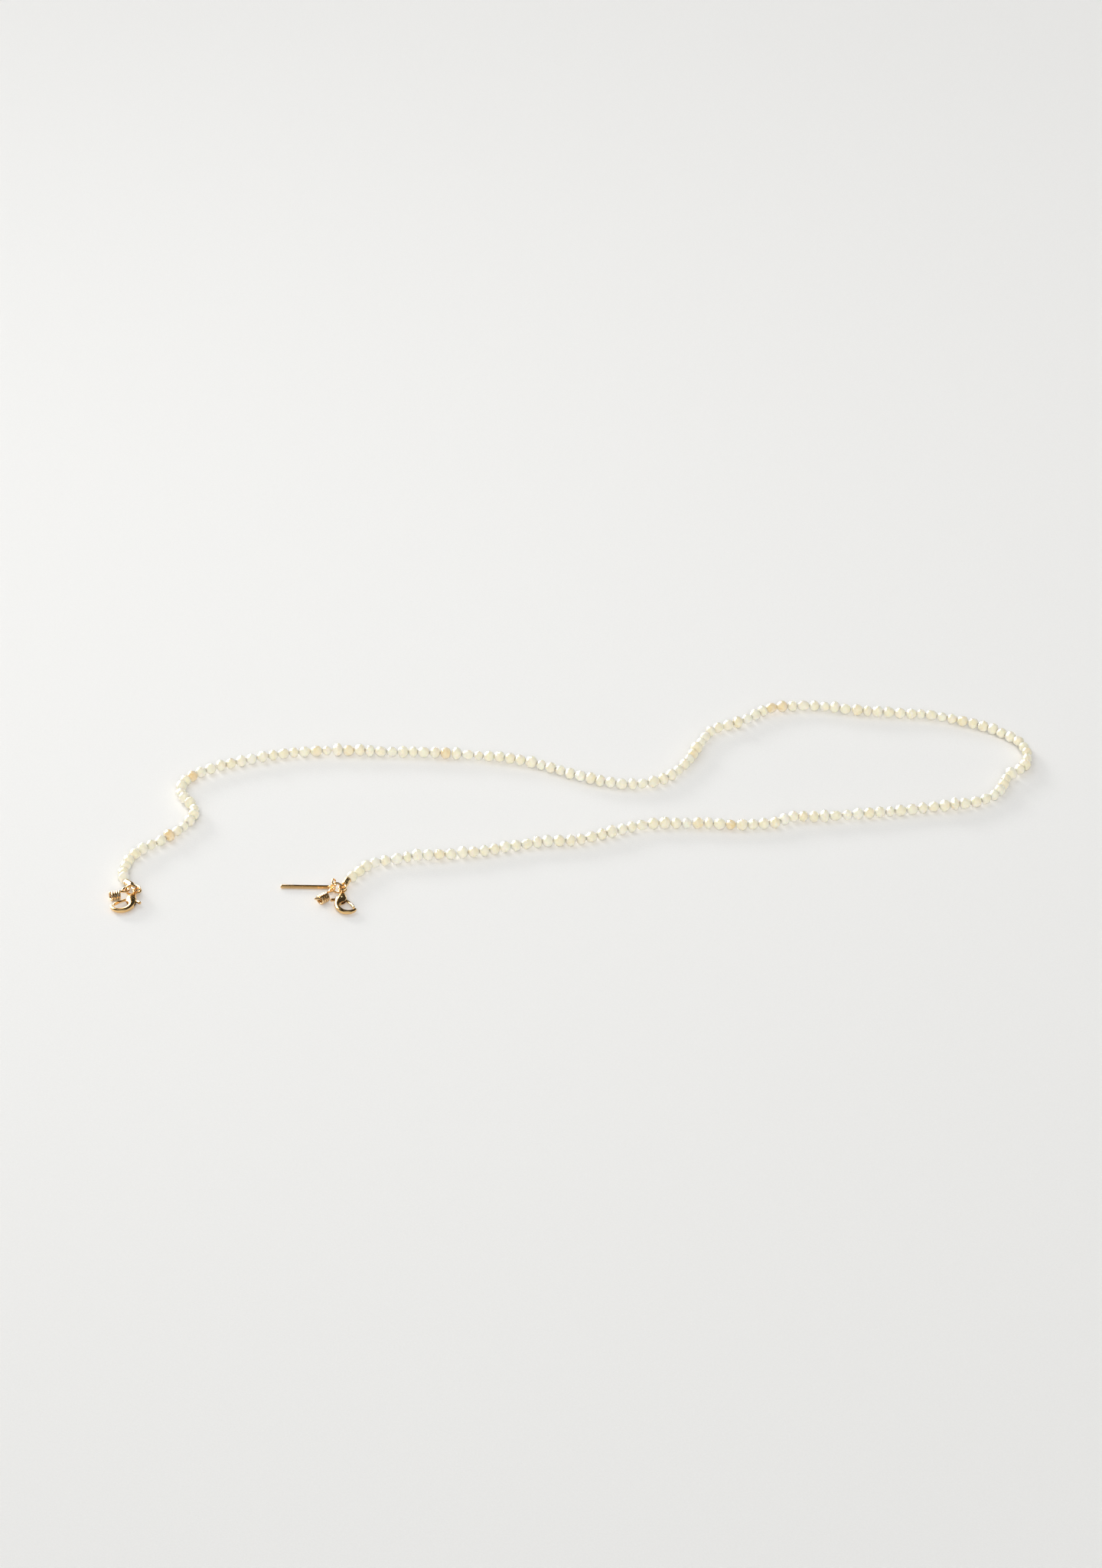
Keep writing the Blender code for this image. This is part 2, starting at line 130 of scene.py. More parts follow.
def node_middle(name):
    low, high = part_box(name)
    return (low + high) / 2 / MM


def ring_centres(name, start):
    """The middles of a thread node's rings of points, in order from the end nearest to start."""
    left = node_points(name)
    found = []
    while len(left):
        near = np.linalg.norm(left - left[0], axis=1) < 0.6
        found.append(Vector(np.unique(left[near].round(4), axis=0).mean(axis=0)))
        left = left[~near]
    chain = []
    here = start
    while found:
        here = min(found, key=lambda place: (place - here).length)
        found.remove(here)
        chain.append(here)
    return chain


def run_boundary(number):
    """The hinge place before a run, counted from 1; one past the last run is the right-hand end."""
    if number == 1:
        return joint_place("cap_left_turn")
    if number > RUNS:
        return joint_place("cap_right_turn")
    for child in (number - 1, number):
        for kind in ("swing", "lift"):
            name = f"strand_{child:02d}_{kind}"
            bodies = {f"run_{number - 1:02d}", f"run_{number:02d}"}
            if name in joints and {joints[name]["parent"], joints[name]["child"]} == bodies:
                return joint_place(name)
    raise ValueError(f"no hinge before run {number}")


# ---------------------------------------------------------------- building meshes


def finish_piece(piece, material, body, slot, *nodes):
    """Gives a piece its material and body, and hides the CAD nodes it stands for."""
    piece.data.materials.clear()
    piece.data.materials.append(material)
    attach(piece, body)
    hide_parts(*nodes)


def new_object(name, bm):
    bmesh.ops.recalc_face_normals(bm, faces=bm.faces)
    mesh = bpy.data.meshes.new(name)
    bm.to_mesh(mesh)
    bm.free()
    mesh.shade_smooth()
    made = bpy.data.objects.new(name, mesh)
    bpy.context.scene.collection.objects.link(made)
    return made


def add_skin(bm, loops, closed=False):
    """Adds the skin through loops of points in mm; closed joins the last loop to the first."""
    rows = [[bm.verts.new(Vector(point) * MM) for point in loop] for loop in loops]
    pairs = list(zip(rows, rows[1:]))
    if closed:
        pairs.append((rows[-1], rows[0]))
    else:
        bm.faces.new(rows[0])
        bm.faces.new(rows[-1])
    for row, after in pairs:
        for i in range(len(row)):
            j = (i + 1) % len(row)
            bm.faces.new((row[i], row[j], after[j], after[i]))
    return rows


def skin(name, loops, closed=False):
    bm = bmesh.new()
    add_skin(bm, loops, closed)
    return new_object(name, bm)


def tangents(points, closed=False):
    """The path's direction at each of its points."""
    found = []
    for i in range(len(points)):
        if closed:
            before, after = points[i - 1], points[(i + 1) % len(points)]
        else:
            before, after = points[max(i - 1, 0)], points[min(i + 1, len(points) - 1)]
        found.append((after - before).normalized())
    return found


def section(centre, across, over, half_width, half_depth, sides, power=1.0):
    """Points round an ellipse; a power under 1 squares its corners."""
    loop = []
    for i in range(sides):
        angle = 2 * math.pi * i / sides
        c, s = math.cos(angle), math.sin(angle)
        c = math.copysign(abs(c) ** power, c)
        s = math.copysign(abs(s) ** power, s)
        loop.append(centre + across * half_width * c + over * half_depth * s)
    return loop


def rounded_end(loop, point, inward, radius):
    """Smaller copies of a wire's end loop, a little proud of it, outermost first."""
    copies = []
    for back, share in WIRE_END:
        centre = point + inward * (back - WIRE_PROUD) * radius
        copies.append([centre + (corner - point) * share for corner in loop])
    return copies


def wire_loops(points, radius, sides, closed=False):
    """Round wire along a path. An open wire gets rounded-over ends."""
    directions = tangents(points, closed)
    across = directions[0].orthogonal().normalized()
    loops = []
    for point, direction in zip(points, directions):
        across = (across - direction * across.dot(direction)).normalized()
        loops.append(section(point, across, direction.cross(across), radius, radius, sides))
    if closed:
        return loops
    lead = rounded_end(loops[0], points[0], directions[0], radius)
    tail = rounded_end(loops[-1], points[-1], -directions[-1], radius)
    return lead + loops + tail[::-1]


def smooth_path(corners, steps):
    """Points of a centripetal Catmull-Rom curve through the corners."""
    corners = [Vector(corner) for corner in corners]
    row = [2 * corners[0] - corners[1], *corners, 2 * corners[-1] - corners[-2]]
    found = []
    for a, b, c, d in zip(row, row[1:], row[2:], row[3:]):
        t1 = (b - a).length ** 0.5
        t2 = t1 + (c - b).length ** 0.5
        t3 = t2 + (d - c).length ** 0.5
        for step in range(steps):
            t = t1 + (t2 - t1) * step / steps
            ab = a.lerp(b, t / t1)
            bc = b.lerp(c, (t - t1) / (t2 - t1))
            cd = c.lerp(d, (t - t2) / (t3 - t2))
            abc = ab.lerp(bc, t / t2)
            bcd = bc.lerp(cd, (t - t1) / (t3 - t1))
            found.append(abc.lerp(bcd, (t - t1) / (t2 - t1)))
    found.append(corners[-1])
    return found


def cut(target, tool, operation="DIFFERENCE"):
    """Applies a Boolean to the target and removes the tool."""
    step = target.modifiers.new("cut", "BOOLEAN")
    step.operation = operation
    step.solver = "EXACT"
    step.object = tool
    bpy.context.view_layer.update()
    graph = bpy.context.evaluated_depsgraph_get()
    mesh = bpy.data.meshes.new_from_object(target.evaluated_get(graph))
    target.modifiers.remove(step)
    target.data = mesh
    bpy.data.objects.remove(tool)
    mesh.shade_smooth()
    mesh.set_sharp_from_angle(angle=math.radians(SHARP_DEGREES))


def place_local(piece, matrix):
    """Moves a mesh made in mm about its own origin to its place in the frame."""
    scaled = Matrix.Translation(matrix.translation * MM) @ matrix.to_3x3().to_4x4()
    piece.data.transform(scaled)


def axes_matrix(origin, x_axis, z_axis):
    """A matrix in mm from an origin, an X direction and a rough Z direction."""
    x = x_axis.normalized()
    z = (z_axis - x * z_axis.dot(x)).normalized()
    y = z.cross(x)
    turn = Matrix((x, y, z)).transposed().to_4x4()
    return Matrix.Translation(origin) @ turn


# ---------------------------------------------------------------- materials


class Nodes:
    """Short names for building a material's nodes."""

    def __init__(self, name):
        self.material = bpy.data.materials.new(name)
        self.material.use_nodes = True
        self.tree = self.material.node_tree
        self.shader = self.tree.nodes["Principled BSDF"]
        self.coords = self.add("ShaderNodeTexCoord").outputs["Object"]

    def add(self, kind, **settings):
        made = self.tree.nodes.new(kind)
        for key, value in settings.items():
            setattr(made, key, value)
        return made

    def feed(self, socket, value):
        if isinstance(value, bpy.types.NodeSocket):
            self.tree.links.new(value, socket)
        else:
            socket.default_value = value

    def set(self, **values):
        for key, value in values.items():
            self.feed(self.shader.inputs[key.replace("_", " ")], value)

    def noise(self, scale, detail, rough, distortion=0.0, vector=None):
        made = self.add("ShaderNodeTexNoise")
        self.feed(made.inputs["Vector"], vector or self.coords)
        made.inputs["Scale"].default_value = scale
        made.inputs["Detail"].default_value = detail
        made.inputs["Roughness"].default_value = rough
        made.inputs["Distortion"].default_value = distortion
        return made.outputs["Fac"]

    def ramp(self, factor, *stops):
        made = self.add("ShaderNodeValToRGB")
        self.feed(made.inputs["Fac"], factor)
        band = made.color_ramp
        while len(band.elements) < len(stops):
            band.elements.new(0.5)
        for element, (place, colour) in zip(band.elements, stops):
            element.position = place
            element.color = (*colour, 1.0)
        return made.outputs["Color"]

    def mix(self, factor, a, b):
        """Mixes two colours; a colour mix's own sockets are inputs 6 and 7 and output 2."""
        made = self.add("ShaderNodeMix", data_type="RGBA")
        self.feed(made.inputs["Factor"], factor)
        self.feed(made.inputs[6], a)
        self.feed(made.inputs[7], b)
        return made.outputs[2]

    def span(self, value, low, high, to_low, to_high):
        made = self.add("ShaderNodeMapRange")
        self.feed(made.inputs["Value"], value)
        ends = {"From Min": low, "From Max": high, "To Min": to_low, "To Max": to_high}
        for key, number in ends.items():
            made.inputs[key].default_value = number
        return made.outputs["Result"]

    def combine(self, operation, a, b):
        made = self.add("ShaderNodeMath", operation=operation)
        self.feed(made.inputs[0], a)
        self.feed(made.inputs[1], b)
        return made.outputs[0]

    def attribute(self, name):
        return self.add("ShaderNodeAttribute", attribute_name=name).outputs["Fac"]

    def bump(self, height, distance, strength):
        made = self.add("ShaderNodeBump")
        self.feed(made.inputs["Height"], height)
        made.inputs["Distance"].default_value = distance
        made.inputs["Strength"].default_value = strength
        self.feed(self.shader.inputs["Normal"], made.outputs["Normal"])


def nacre_material():
    """Cream nacre: its colour drifts from pearl to pearl and over each, under a clear lustre, and
    each pearl carries painted shade, deeper gold where it faces the camera.
    """
    n = Nodes("nacre")
    tone = n.attribute("tone")
    body = n.ramp(
        tone,
        (0.0, (0.96, 0.93, 0.84)),
        (0.35, (0.95, 0.88, 0.72)),
        (0.7, (0.93, 0.81, 0.58)),
        (0.9, (0.89, 0.7, 0.42)),
        (1.0, (0.83, 0.57, 0.27)),
    )
    patches = n.noise(900.0, 3.0, 0.55, 0.6)
    body = n.mix(n.span(patches, 0.35, 0.7, 0.0, 0.55), body, (0.95, 0.93, 0.88, 1.0))
    pits = n.noise(2600.0, 2.0, 0.6)
    body = n.mix(n.span(pits, 0.62, 0.8, 0.0, 0.35), body, (0.84, 0.71, 0.48, 1.0))
    # painted shade: the colour moves a quarter of the way to deep gold where the pearl faces the
    # camera, and less towards its outline
    edge = n.add("ShaderNodeLayerWeight")
    edge.inputs["Blend"].default_value = 0.35
    body = n.mix(n.span(edge.outputs["Facing"], 0.0, 1.0, 0.25, 0.0), body, (0.9, 0.78, 0.5, 1.0))
    n.set(
        Base_Color=body,
        Roughness=n.span(patches, 0.3, 0.7, 0.24, 0.4),
        Subsurface_Weight=0.6,
        Subsurface_Scale=0.0012,
        Coat_Weight=1.0,
        Coat_Roughness=0.2,
        Sheen_Weight=0.15,
        Sheen_Roughness=0.4,
    )
    n.shader.inputs["Subsurface Radius"].default_value = (1.0, 0.8, 0.5)
    n.shader.inputs["Sheen Tint"].default_value = (1.0, 0.93, 0.85, 1.0)
    wrinkles = n.combine("ADD", n.noise(1500.0, 4.0, 0.6), n.combine("MULTIPLY", pits, 0.4))
    n.bump(wrinkles, 0.00006, 0.6)
    return n.material


def silk_material():
    """Waxed silk: off-white fibres along a twist."""
    n = Nodes("silk_thread")
    fibres = n.noise(9000.0, 3.0, 0.6)
    tint = n.ramp(fibres, (0.3, (0.8, 0.74, 0.62)), (0.65, (0.95, 0.92, 0.85)))
    n.set(
        Base_Color=tint,
        Roughness=0.7,
        Sheen_Weight=0.4,
        Subsurface_Weight=0.1,
        Subsurface_Scale=0.0003,
    )
    n.bump(fibres, 0.00003, 0.8)
    return n.material


def gold_material(name, tint, shade, roughness, drawn):
    """Polished gold plate, with faint wear, haze, painted shade in its recesses and hairline
    scratches.

    drawn stretches the scratches, along the object's X where it is under 1.
    """
    n = Nodes(name)
    haze = n.noise(500.0, 4.0, 0.6, 0.3)
    colour = n.mix(n.span(haze, 0.35, 0.7, 0.0, 1.0), (*tint, 1.0), (*shade, 1.0))
    geometry = n.add("ShaderNodeNewGeometry")
    edges = n.span(geometry.outputs["Pointiness"], 0.5, 0.56, 0.0, 0.6)
    colour = n.mix(edges, colour, (1.0, 0.84, 0.56, 1.0))
    # painted shade: ambient occlusion darkens recesses, such as the gaps between coil turns,
    # towards dark brown
    occlusion_shade = n.add("ShaderNodeAmbientOcclusion", samples=6, only_local=True)
    occlusion_shade.inputs["Distance"].default_value = 0.0004
    shaded = n.span(occlusion_shade.outputs["AO"], 0.25, 0.8, 0.85, 0.0)
    colour = n.mix(shaded, colour, (0.22, 0.1, 0.025, 1.0))
    stretch = n.add("ShaderNodeMapping")
    n.feed(stretch.inputs["Vector"], n.coords)
    stretch.inputs["Scale"].default_value = drawn
    scratches = n.noise(2500.0, 3.0, 0.7, 0.0, stretch.outputs["Vector"])
    n.set(
        Base_Color=colour,
        Metallic=1.0,
        Roughness=n.span(haze, 0.3, 0.7, roughness, roughness + 0.1),
    )
    n.bump(n.combine("ADD", scratches, n.combine("MULTIPLY", haze, 0.5)), 0.00001, 0.5)
    return n.material


def steel_material():
    """Bluish spring steel with a faint haze."""
    n = Nodes("spring_steel")
    haze = n.noise(900.0, 3.0, 0.6)
    tint = n.ramp(haze, (0.3, (0.42, 0.41, 0.4)), (0.7, (0.66, 0.66, 0.68)))
    n.set(Base_Color=tint, Metallic=1.0, Roughness=n.span(haze, 0.3, 0.7, 0.25, 0.4))
    n.bump(haze, 0.00001, 0.4)
    return n.material


def floor_material():
    """Pale uncoated paper with the faintest tooth."""
    n = Nodes("paper")
    tooth = n.noise(2600.0, 2.0, 0.7)
    drift = n.noise(6.0, 2.0, 0.5)
    tint = n.ramp(tooth, (0.3, (0.885, 0.885, 0.875)), (0.7, (0.925, 0.925, 0.918)))
    tint = n.mix(n.span(drift, 0.3, 0.7, 0.0, 0.25), tint, (0.9, 0.897, 0.885, 1.0))
    n.set(Base_Color=tint, Roughness=0.9, Specular_IOR_Level=0.15)
    n.bump(tooth, 0.0001, 0.35)
    return n.material


NACRE = nacre_material()
SILK = silk_material()
EVEN = (1.0, 1.0, 1.0)
DRAWN = (0.3, 2.0, 2.0)
GOLD = gold_material("gold_cast", (0.91, 0.59, 0.24), (0.81, 0.48, 0.17), 0.1, EVEN)
WIRE = gold_material("gold_wire", (0.82, 0.51, 0.2), (0.68, 0.39, 0.13), 0.13, DRAWN)
# painted shade: the bar is the same gold as the rest, coloured darker and more orange for the
# darker room it mirrors
SHADED_ROD_GOLD = gold_material("gold_rod_shaded", (0.76, 0.43, 0.14), (0.6, 0.31, 0.08), 0.12, DRAWN)
STEEL = steel_material()


# ---------------------------------------------------------------- strand

PLIES = 3
THREAD_RADIUS = 0.19
THREAD_SIDES = 12
THREAD_TWIST = 3.2  # radians per mm
THREAD_TRIM = 0.5
BEND_REACH = 0.75
BEND_MIDDLE = 0.35
BORE_RADIUS = 0.31
PEARL_RINGS = 21
PEARL_SIDES = 32
PEARL_RADIUS = 1.27
PEARL_SPREAD = 0.065
PEARL_LEAST = 1.08
PEARL_MOST = 1.42
# how much shorter a pearl is than its place on the thread, and the extra room beside a hinge
PEARL_SHORT = 0.07
HINGE_GAP = 0.08
# how far pearls stray sideways and slide along the thread, and the radius that rests on the table
WANDER = 0.16
SLIDE = 0.26
RESTING = 1.25


def wandering(stations, rng):
    """The thread strays a little between its fixed ends, as uneven pearls push it about."""
    strayed = []
    last = len(stations) - 1
    phase = rng.uniform(0, 20)
    for i, place in enumerate(stations):
        loose = min(1.0, i / 2, (last - i) / 2)
        slide = rng.uniform(-SLIDE, SLIDE) * min(1, i, last - i)
        side = noise.noise(Vector((i * 0.9, phase, 0.0)))
        rise = noise.noise(Vector((i * 0.8, phase, 7.0)))
        ahead = stations[min(i + 1, last)] - stations[max(i - 1, 0)]
        ahead.normalize()
        across = UP.cross(ahead)
        stray = (across * side + UP * max(rise, -0.3)) * 2 * WANDER * loose
        strayed.append(place + ahead * slide + stray)
    return strayed


def pearl_loops(start, end, radius, rng, at_hinge):
    """One freshwater pearl between two places on the thread: lumpy, often flattened, drilled.

    Next to a hinge it sits straighter and has rounder ends, so that its neighbour can fold.
    """
    axis = (end - start).normalized()
    length = (end - start).length - PEARL_SHORT
    tilt = Vector((rng.gauss(0, 0.06), rng.gauss(0, 0.06), rng.gauss(0, 0.06)))
    if at_hinge:
        tilt *= 0.3
    axis = (axis + tilt).normalized()
    across = axis.orthogonal().normalized()
    across = Matrix.Rotation(rng.uniform(0, 2 * math.pi), 3, axis) @ across
    over = axis.cross(across)
    wide = radius * rng.uniform(0.93, 1.05)
    deep = radius * rng.uniform(0.9, 1.03)
    middle = (start + end) / 2 + UP * max(0.0, max(wide, deep) - RESTING)
    fullness = rng.uniform(0.88, 1.15)
    if at_hinge:
        fullness = max(fullness, 1.0)
    lean = rng.uniform(-0.12, 0.12)
    seed = Vector((rng.uniform(-50, 50), rng.uniform(-50, 50), rng.uniform(-50, 50)))
    lumps = rng.choice((0.05, 0.07, 0.09, 0.13))
    banding = rng.choice((0.0, 0.0, 0.015, 0.03))
    loops = []
    hole = BORE_RADIUS / radius
    first = math.asin(hole ** (1 / fullness))
    for i in range(PEARL_RINGS):
        turn = first + (math.pi - 2 * first) * i / (PEARL_RINGS - 1)
        ring = math.sin(turn) ** fullness
        along = -math.cos(turn) / math.cos(first) * (1 - 0.1 * ring * abs(lean))
        loop = []
        for j in range(PEARL_SIDES):
            angle = 2 * math.pi * j / PEARL_SIDES
            c, s = math.cos(angle), math.sin(angle)
            ball = Vector((c * ring, s * ring, along)) * 1.1
            swell = 1 + lumps * ring * noise.noise(ball + seed)
            swell += 0.35 * lumps * ring * noise.noise(ball * 3 + seed)
            swell += banding * math.sin(along * 11 + seed.x) * ring
            swell += lean * along * ring
            edge = across * c * wide + over * s * deep
            loop.append(middle + axis * along * length / 2 + edge * ring * swell)
        loops.append(loop)
    bore = BORE_RADIUS * 0.93
    for share in (0.97, 0.0, -0.97):
        centre = middle + axis * share * length / 2 * 0.97
        loops.append(section(centre, across, over, bore, bore, PEARL_SIDES))
    return loops


def pearl_tone(rng):
    """Mostly cream, some near white, some golden and a few amber."""
    pick = rng.random()
    if pick < 0.15:
        return rng.uniform(0.1, 0.3)
    if pick < 0.85:
        return rng.uniform(0.3, 0.58)
    if pick < 0.96:
        return rng.uniform(0.58, 0.8)
    return rng.uniform(0.85, 1.0)


def thread_loops(points):
    """Plies twisted together along a path."""
    directions = tangents(points)
    across = directions[0].orthogonal().normalized()
    loops = []
    twist = 0.0
    for i, (point, direction) in enumerate(zip(points, directions)):
        across = (across - direction * across.dot(direction)).normalized()
        over = direction.cross(across)
        if i:
            twist += (point - points[i - 1]).length * THREAD_TWIST
        loop = []
        for j in range(THREAD_SIDES):
            angle = 2 * math.pi * j / THREAD_SIDES
            radius = THREAD_RADIUS * (0.86 + 0.14 * math.cos(PLIES * (angle - twist)))
            loop.append(point + (across * math.cos(angle) + over * math.sin(angle)) * radius)
        loops.append(loop)
    return loops


def make_run(number, rng):
    """Makes the pearls and the silk of one run, and gives back the places between its pearls."""
    start, end = run_boundary(number), run_boundary(number + 1)
    stations = ring_centres(f"silk_{number:02d}", start)
    stations[0], stations[-1] = start, end
    stations = wandering(stations, rng)
    bm = bmesh.new()
    layer = bm.verts.layers.float.new("tone")
    for i in range(PEARLS_PER_RUN):
        radius = PEARL_RADIUS * (1 + rng.gauss(0, PEARL_SPREAD))
        radius = min(max(radius, PEARL_LEAST), PEARL_MOST)
        tone = pearl_tone(rng)
        near, far = stations[i], stations[i + 1]
        clear = (far - near).normalized() * HINGE_GAP
        if i == 0:
            near = near + clear
        if i == PEARLS_PER_RUN - 1:
            far = far - clear
        at_hinge = i in (0, PEARLS_PER_RUN - 1)
        rows = add_skin(bm, pearl_loops(near, far, radius, rng, at_hinge), closed=True)
        for row in rows:
            for corner in row:
                corner[layer] = tone
    pearls = new_object(f"pearl_run_{number:02d}", bm)
    body = f"run_{number:02d}"
    finish_piece(pearls, NACRE, body, "pearl", f"pearls_{number:02d}")
    trimmed = [place.copy() for place in stations]
    trimmed[0] += (stations[1] - stations[0]).normalized() * THREAD_TRIM
    trimmed[-1] += (stations[-2] - stations[-1]).normalized() * THREAD_TRIM
    thread = skin(f"silk_run_{number:02d}", thread_loops(smooth_path(trimmed, 10)))
    finish_piece(thread, SILK, body, "silk", f"silk_{number:02d}")
    return stations


def make_bend(number, before, after):
    """The stretch of silk that bends at the hinge between two runs."""
    hinge = run_boundary(number)
    back = (before[-2] - hinge).normalized()
    ahead = (after[1] - hinge).normalized()
    path = [
        hinge + back * BEND_REACH,
        hinge + back * BEND_MIDDLE,
        hinge,
        hinge + ahead * BEND_MIDDLE,
        hinge + ahead * BEND_REACH,
    ]
    bend = skin(f"silk_bend_{number:02d}", thread_loops(smooth_path(path, 5)))
    bend.data.materials.append(SILK)
    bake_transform(bend)


# ---------------------------------------------------------------- hardware

CAP_START = 0.25
CAP_LENGTH = 2.6
CAP_RADIUS = 0.75
CAP_GROOVE = CAP_RADIUS - 0.06
CAP_SIDES = 48
CAP_EYE_WIRE = 0.2
CAP_EYE_LONG = 1.15
CAP_EYE_WIDE = 0.72
CAP_EYE_RISE = 0.3
EYE_STEPS = 48
KNOT_STEPS = 32
RING_WIRE = 0.24
RING_STEPS = 96
RING_CUT_DEGREES = 3.2


def turned(profile, sides):
    """Loops round X from pairs of x and radius."""
    return [section(Vector((x, 0, 0)), Y_AXIS, UP, radius, radius, sides) for x, radius in profile]


def eye_path(centre, long, wide):
    """A closed oval in the XY plane, centred on X."""
    points = []
    for i in range(EYE_STEPS):
        angle = 2 * math.pi * i / EYE_STEPS
        points.append(Vector((centre + long * math.cos(angle), wide * math.sin(angle), 0)))
    return points


def make_cap(side):
    """A drawn end cap: rolled lip, two turned grooves, domed end and a soldered wire eye."""
    tip = joint_place(f"cap_{side}_turn")
    hold = joint_place(f"ring_{side}_turn")
    ahead = (hold + UP * CAP_EYE_RISE - tip).normalized()
    far = CAP_START + CAP_LENGTH
    profile = [
        (far + 0.03, 0.1),
        (far, 0.34),
        (far - 0.09, 0.55),
        (far - 0.22, 0.68),
        (far - 0.4, CAP_RADIUS),
        (far - 0.62, CAP_RADIUS),
        (far - 0.68, CAP_GROOVE),
        (far - 0.76, CAP_GROOVE),
        (far - 0.82, CAP_RADIUS),
        (CAP_START + 0.62, CAP_RADIUS),
        (CAP_START + 0.56, CAP_GROOVE),
        (CAP_START + 0.48, CAP_GROOVE),
        (CAP_START + 0.42, CAP_RADIUS),
        (CAP_START + 0.16, CAP_RADIUS + 0.01),
        (CAP_START + 0.05, CAP_RADIUS),
        (CAP_START, CAP_RADIUS - 0.07),
        (CAP_START + 0.02, 0.55),
        (CAP_START + 0.1, 0.51),
        (far - 0.55, 0.5),
        (far - 0.45, 0.3),
    ]
    cap = skin(f"end_cap_{side}_shell", turned(profile, CAP_SIDES))
    oval = eye_path(far + CAP_EYE_LONG, CAP_EYE_LONG, CAP_EYE_WIDE)
    loops = wire_loops(oval, CAP_EYE_WIRE, 14, closed=True)
    cut(cap, skin("eye", loops, closed=True), "UNION")
    place_local(cap, axes_matrix(tip, ahead, UP))
    finish_piece(cap, GOLD, f"cap_{side}", "gold", f"end_cap_{side}")
    knot_points = [Vector((0.1, 0, 0)), Vector((0.5, 0, 0))]
    for i in range(KNOT_STEPS + 1):
        angle = 2 * math.pi * i / KNOT_STEPS
        reach = 0.14 + 0.07 * math.cos(3 * angle)
        knot_points.append(
            Vector((
                1.15 + 0.2 * math.sin(3 * angle),
                reach * math.cos(2 * angle) * 1.1,
                reach * math.sin(2 * angle) * 1.1,
            ))
        )
    knot_points.append(Vector((1.6, 0.05, 0.02)))
    knot = skin(f"silk_knot_{side}_tied", thread_loops(smooth_path(knot_points, 3)))
    place_local(knot, axes_matrix(tip, ahead, UP))
    finish_piece(knot, SILK, f"cap_{side}", "silk", f"silk_knot_{side}")


def make_ring(side):
    """A cut jump ring of round wire, standing on edge, its ends a hair apart at the foot."""
    hold = joint_place(f"ring_{side}_turn")
    out = node_middle(f"jump_ring_{side}") - hold
    out.z = 0
    centre = hold + out
    out.normalize()
    radius = (centre - hold).length
    half_cut = math.radians(RING_CUT_DEGREES)
    points = []
    for i in range(RING_STEPS + 1):
        angle = -math.pi / 2 + half_cut + (2 * math.pi - 2 * half_cut) * i / RING_STEPS
        points.append(centre + (out * math.cos(angle) + UP * math.sin(angle)) * radius)
    ring = skin(f"jump_ring_{side}_wire", wire_loops(points, RING_WIRE, 18))
    finish_piece(ring, WIRE, f"ring_{side}", "gold", f"jump_ring_{side}")


CLASP_EYE_RADIUS = 0.75
CLASP_EYE_WIRE = 0.25
CLASP_DROP = 0.3
PIVOT = Vector((3.5, -0.2, 0.0))
PIN_RADIUS = 0.2
PIN_BORE = 0.25
PIN_SIDES = 32
SLOT_FROM = 2.1
SLOT_TO = 5.0
SLOT_HALF = 0.3
CLAW = (
    # x, y, half width, half depth
    (0.8, 0.0, 0.3, 0.3),
    (1.4, -0.02, 0.44, 0.43),
    (2.3, -0.12, 0.85, 0.62),
    (3.1, -0.28, 1.18, 0.74),
    (3.8, -0.62, 1.22, 0.78),
    (4.4, -1.1, 0.92, 0.78),
    (5.15, -1.38, 0.66, 0.72),
    (6.0, -1.4, 0.54, 0.64),
    (6.85, -1.1, 0.5, 0.58),
    (7.6, -0.45, 0.47, 0.54),
    (8.03, 0.45, 0.43, 0.5),
    (8.03, 1.4, 0.4, 0.46),
    (7.65, 2.2, 0.36, 0.4),
    (7.2, 2.58, 0.28, 0.32),
    (7.08, 2.66, 0.15, 0.17),
)
LEVER = (
    # x, y, half width, half depth
    (6.72, 2.3, 0.1, 0.14),
    (6.63, 2.26, 0.2, 0.3),
    (6.2, 2.1, 0.23, 0.36),
    (5.6, 1.83, 0.25, 0.36),
    (5.15, 1.58, 0.26, 0.24),
    (4.4, 1.05, 0.3, 0.24),
    (3.9, 0.45, 0.38, 0.24),
    (3.5, -0.2, 0.45, 0.24),
    (3.4, -0.95, 0.34, 0.24),
    (3.42, -1.6, 0.28, 0.24),
    (3.48, -2.15, 0.26, 0.3),
    (3.56, -2.6, 0.31, 0.36),
    (3.59, -2.82, 0.3, 0.34),
    (3.6, -2.9, 0.2, 0.22),
)
SPRING = ((4.88, -1.5), (4.68, -1.18), (4.35, -1.18), (4.05, -1.38))
SPRING_HALF_THICK = 0.06
SPRING_HALF_WIDE = 0.22


def flat_sweep(name, stations, sides, steps, power):
    """A solid bar that follows stations in the XY plane."""
    found = smooth_path(stations, steps)
    points = [Vector((station[0], station[1], 0.0)) for station in found]
    loops = []
    for point, direction, (_, _, wide, deep) in zip(points, tangents(points), found):
        loops.append(section(point, UP.cross(direction), UP, wide, deep, sides, power))
    return skin(name, loops)


def peg(name, profile):
    """A turned pin on the lever's pivot, along Z, from pairs of z and radius."""
    loops = []
    for z, radius in profile:
        centre = Vector((PIVOT.x, PIVOT.y, z))
        loops.append(section(centre, X_AXIS, Y_AXIS, radius, radius, PIN_SIDES))
    return skin(name, loops)


def clasp_matrix(side):
    """The clasp's own axes: eye at the origin, claw along X, mouth towards Y."""
    origin = joint_place(f"clasp_{side}_turn") - UP * CLASP_DROP
    pivot = joint_place(f"lever_{side}_open")
    z_axis = -joint_axis(f"lever_{side}_open")
    reach = pivot - origin
    reach -= z_axis * reach.dot(z_axis)
    lean = math.atan2(PIVOT.y, PIVOT.x)
    x_axis = Matrix.Rotation(-lean, 3, z_axis) @ reach
    return axes_matrix(origin, x_axis, z_axis)


